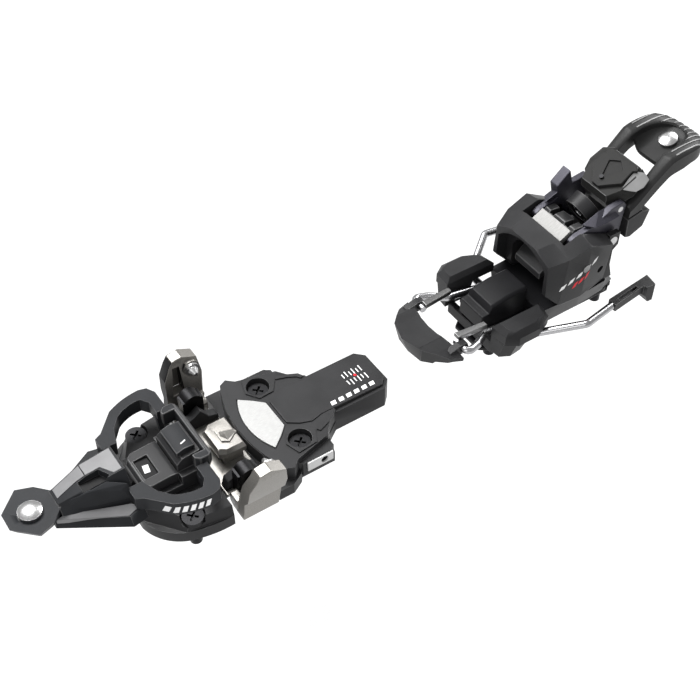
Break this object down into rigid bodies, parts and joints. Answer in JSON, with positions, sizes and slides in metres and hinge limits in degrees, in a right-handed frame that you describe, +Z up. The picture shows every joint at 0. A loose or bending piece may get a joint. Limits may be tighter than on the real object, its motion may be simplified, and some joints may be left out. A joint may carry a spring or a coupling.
{
  "type": "alpine touring ski binding",
  "caption": "Pin-type alpine touring ski binding: toe unit with swinging pin levers and a long front lever; heel unit with boot jaw, heel lever, climbing aid and ski brake.",
  "frame": {"origin": "on the ski's top surface, midway under the toe pins", "axes": "+X back along the ski from toe to heel, +Y to the left side, +Z up from the ski"},
  "size_m": [0.3672, 0.0818, 0.0828],
  "materials": {
    "base_plastic": "satin moulded",
    "lever_plastic": "satin moulded",
    "badge_plate": "brushed",
    "pale_inlay": "smooth",
    "dark_steel": "blackened",
    "forged_steel": "forged satin",
    "bright_steel": "polished",
    "spring_steel": "drawn",
    "track_plastic": "moulded",
    "pad_plastic": "moulded",
    "link_steel": "stamped",
    "housing_plastic": "satin moulded",
    "fork_alloy": "anodised",
    "wear_plate": "ground",
    "handle_plastic": "satin moulded",
    "riser_plastic": "satin moulded"
  },
  "bodies": {
    "base": {"toe_base": "base_plastic", "toe_badge": "badge_plate", "crampon_plates": "pale_inlay", "toe_rear_screws": "dark_steel", "toe_front_screws": "dark_steel", "toe_tower": "base_plastic", "release_frame": "lever_plastic", "value_block": "lever_plastic", "mode_block": "base_plastic", "mode_tile": "pale_inlay", "toe_release_spring": "spring_steel", "toe_spring_piston": "spring_steel", "toe_adjust_screw": "dark_steel", "heel_track": "track_plastic", "heel_screws": "dark_steel"},
    "toe_carriage": {"toe_slide_plate": "forged_steel", "toe_center_block": "forged_steel", "toe_cheeks": "forged_steel", "hinge_hub_left": "forged_steel", "hinge_hub_right": "forged_steel"},
    "pin_arm_left": {"pin_lever_left": "forged_steel", "toe_pin_left": "bright_steel", "lever_axle_left": "bright_steel"},
    "pin_arm_right": {"pin_lever_right": "forged_steel", "toe_pin_right": "bright_steel", "lever_axle_right": "bright_steel"},
    "front_handle": {"front_lever": "lever_plastic", "lever_disc": "bright_steel", "front_lever_axle": "bright_steel"},
    "heel_slider": {"heel_carriage": "track_plastic", "heel_base_block": "track_plastic", "support_pad_left": "pad_plastic", "support_pad_right": "pad_plastic", "brake_frame": "track_plastic", "heel_housing": "housing_plastic", "heel_strut_left": "housing_plastic", "heel_strut_right": "housing_plastic", "jaw_axle": "bright_steel"},
    "length_drive": {"length_screw": "dark_steel"},
    "boot_jaw": {"heel_jaw": "housing_plastic", "jaw_plate": "wear_plate"},
    "heel_handle": {"heel_lever": "handle_plastic", "fork_left": "fork_alloy", "fork_right": "fork_alloy", "heel_lever_axle": "bright_steel", "riser_axle": "bright_steel", "spring_barrel": "housing_plastic", "heel_release_spring": "spring_steel", "lever_rivet": "bright_steel", "lever_block": "housing_plastic"},
    "climbing_aid": {"riser_body": "riser_plastic", "riser_cap": "riser_plastic", "riser_screw": "bright_steel"},
    "brake_arms": {"brake_wire_left": "spring_steel", "brake_wire_right": "spring_steel", "brake_tip_left": "pad_plastic", "brake_tip_right": "pad_plastic", "brake_link_left": "link_steel", "brake_link_right": "link_steel"},
    "brake_pad": {"brake_pedal": "pad_plastic"}
  },
  "joints": [
    {"name": "toe_release_slide", "type": "slide", "parent": "base", "child": "toe_carriage", "axis": [0, 1, 0], "range_m": [-0.005, 0.005], "stiffness_N_per_m": 6000},
    {"name": "pin_left_hinge", "type": "hinge", "parent": "toe_carriage", "child": "pin_arm_left", "pos_m": [-0.0065, 0.027, 0.009], "axis": [-1, 0, 0], "range_deg": [0, 24]},
    {"name": "pin_right_hinge", "type": "hinge", "parent": "toe_carriage", "child": "pin_arm_right", "pos_m": [-0.0065, -0.027, 0.009], "axis": [1, 0, 0], "range_deg": [0, 24]},
    {"name": "front_lever_hinge", "type": "hinge", "parent": "base", "child": "front_handle", "pos_m": [-0.021, 0, 0.0165], "axis": [0, 1, 0], "range_deg": [-8, 25]},
    {"name": "heel_length_slide", "type": "slide", "parent": "base", "child": "heel_slider", "axis": [1, 0, 0], "range_m": [-0.008, 0.008]},
    {"name": "length_screw_turn", "type": "hinge", "parent": "heel_slider", "child": "length_drive", "pos_m": [0.18, 0, 0.0074], "axis": [1, 0, 0], "range_deg": [-1440, 1440]},
    {"name": "heel_lever_hinge", "type": "hinge", "parent": "heel_slider", "child": "heel_handle", "pos_m": [0.2, 0, 0.042], "axis": [0, 1, 0], "range_deg": [0, 25]},
    {"name": "boot_jaw_hinge", "type": "hinge", "parent": "heel_slider", "child": "boot_jaw", "pos_m": [0.18, 0, 0.038], "axis": [0, 1, 0], "range_deg": [0, 15]},
    {"name": "climbing_aid_hinge", "type": "hinge", "parent": "heel_handle", "child": "climbing_aid", "pos_m": [0.205, 0, 0.0565], "axis": [0, -1, 0], "range_deg": [0, 40]},
    {"name": "brake_swing", "type": "hinge", "parent": "heel_slider", "child": "brake_arms", "pos_m": [0.15, 0, 0.0135], "axis": [0, 1, 0], "range_deg": [0, 60]},
    {"name": "brake_pad_turn", "type": "hinge", "parent": "brake_arms", "child": "brake_pad", "pos_m": [0.1126, 0, 0.0194], "axis": [0, 1, 0], "range_deg": [-60, 0]}
  ],
  "couplings": [
    {"joint": "pin_right_hinge", "follows": "pin_left_hinge", "ratio": 1},
    {"joint": "length_screw_turn", "follows": "heel_length_slide", "rad_per_m": 3141.6},
    {"joint": "boot_jaw_hinge", "follows": "heel_lever_hinge", "ratio": 0.6},
    {"joint": "brake_pad_turn", "follows": "brake_swing", "ratio": -1}
  ]
}
